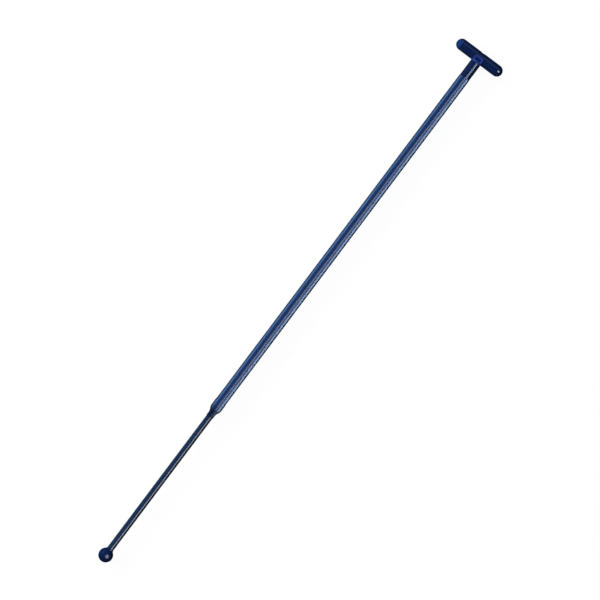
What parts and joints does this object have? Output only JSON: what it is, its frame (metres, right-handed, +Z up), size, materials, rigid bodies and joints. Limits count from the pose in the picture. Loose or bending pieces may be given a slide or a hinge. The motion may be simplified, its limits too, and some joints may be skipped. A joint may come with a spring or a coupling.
{
  "type": "telescopic boat pole",
  "caption": "Telescopic boat pole: satin blue outer tube with a tapered nose, slim dark rod with a ball tip, twist lock inside, and a T-shaped hand grip.",
  "frame": {"origin": "middle of the pole's overall box, on the plane that the ball touches", "axes": "+X along the pole towards the T-grip, +Y along the cross bar, +Z up from the surface that the pole lies on"},
  "size_m": [1.3656, 0.119, 0.032],
  "materials": {
    "tube_blue": "satin blue anodised",
    "rod_navy": "gloss dark navy anodised",
    "grip_navy": "gloss dark navy moulding",
    "saddle_blue": "gloss mid navy moulding",
    "ball_navy": "gloss dark navy moulding",
    "acetal": "natural white acetal",
    "rubber": "black nitrile",
    "brass": "turned",
    "steel": "turned stainless",
    "foam": "closed-cell foam"
  },
  "bodies": {
    "pole": {"outer_tube": "tube_blue", "nose_cone": "tube_blue", "nose_bush": "acetal", "wiper_ring": "rubber", "stop_ring": "rubber", "float_plug": "foam", "neck": "grip_navy", "neck_seals": "rubber", "neck_insert": "brass", "grip_saddle": "saddle_blue", "grip_bar": "grip_navy", "grip_cap_left": "grip_navy", "grip_cap_right": "grip_navy", "grip_screw": "steel", "grip_washer": "steel"},
    "expander": {"expander_sleeve": "acetal", "expander_band": "rubber"},
    "rod": {"inner_tube": "rod_navy", "spindle": "steel", "spindle_pin": "steel", "spindle_stop": "steel", "rod_float": "foam", "ball_tip": "ball_navy", "ball_stud": "steel", "ball_insert": "brass", "ball_seal": "rubber"},
    "cone": {"cone_nut": "brass"}
  },
  "joints": [
    {"name": "rod_slide", "type": "slide", "parent": "pole", "child": "expander", "axis": [-1, 0, 0], "range_m": [-0.35, 0.2785]},
    {"name": "rod_twist", "type": "hinge", "parent": "expander", "child": "rod", "pos_m": [0.0602, 0, 0.016], "axis": [1, 0, 0], "range_deg": [-270, 0]},
    {"name": "cone_travel", "type": "slide", "parent": "expander", "child": "cone", "axis": [1, 0, 0], "range_m": [0, 0.0015]}
  ],
  "couplings": [
    {"joint": "cone_travel", "follows": "rod_twist", "m_per_rad": -0.0003183}
  ]
}
